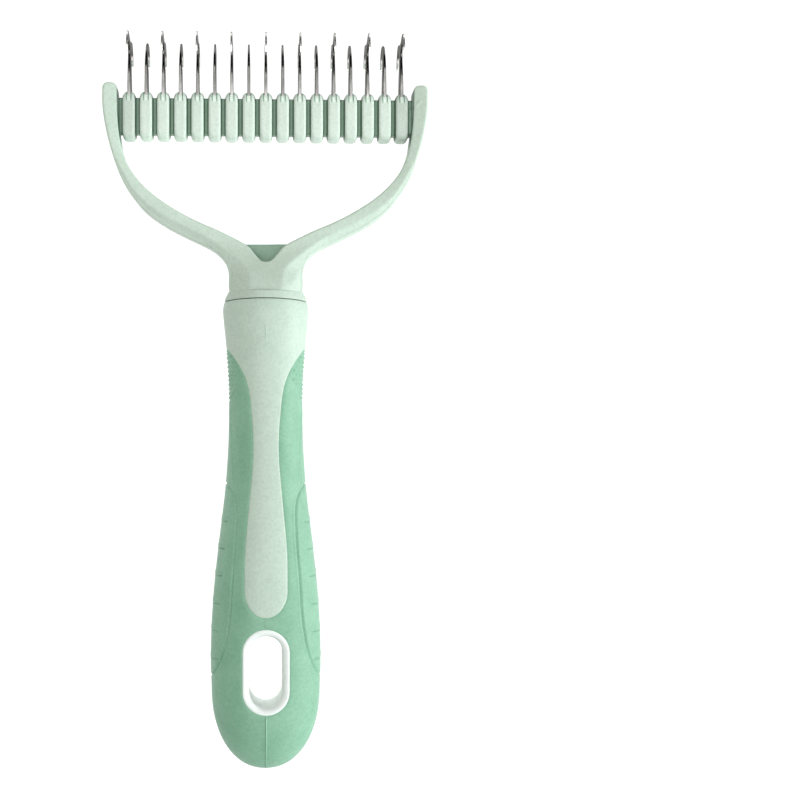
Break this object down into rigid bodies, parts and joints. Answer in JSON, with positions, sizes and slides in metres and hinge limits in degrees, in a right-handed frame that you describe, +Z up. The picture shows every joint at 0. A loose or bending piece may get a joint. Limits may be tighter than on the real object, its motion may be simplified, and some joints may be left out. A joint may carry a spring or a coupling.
{
  "type": "deshedding tool",
  "caption": "Double-sided deshedding rake: a wide fork holds a ribbed comb bar of hooked steel blades, on a two-material grip with a hanging slot.",
  "frame": {"origin": "on the surface that the tool lies on, below the middle of its length and width", "axes": "+X across the row of blades, +Y from the butt of the handle to the blades, +Z up through the front face; the tool lies on its back, on the swell of the handle and the tips of the rear hooks"},
  "size_m": [0.0954, 0.2153, 0.0284],
  "materials": {
    "pale_shell": "fine-grained matt injection moulding, pale sage green",
    "comb_shell": "smooth satin injection moulding, very pale sage green",
    "soft_grip": "soft-touch overmoulded elastomer, mid sage green, faint grain",
    "blade_steel": "polished stamped stainless steel with ground edges"
  },
  "bodies": {
    "root": {"grip_core": "pale_shell", "grip_cover": "soft_grip", "yoke": "pale_shell", "comb_bar": "comb_shell", "blade_rod": "blade_steel", "double_hook_blade_1": "blade_steel", "double_hook_blade_2": "blade_steel", "double_hook_blade_3": "blade_steel", "double_hook_blade_4": "blade_steel", "double_hook_blade_5": "blade_steel", "double_hook_blade_6": "blade_steel", "double_hook_blade_7": "blade_steel", "double_hook_blade_8": "blade_steel", "double_hook_blade_9": "blade_steel", "single_hook_blade_1": "blade_steel", "single_hook_blade_2": "blade_steel", "single_hook_blade_3": "blade_steel", "single_hook_blade_4": "blade_steel", "single_hook_blade_5": "blade_steel", "single_hook_blade_6": "blade_steel", "single_hook_blade_7": "blade_steel", "single_hook_blade_8": "blade_steel"}
  },
  "joints": []
}
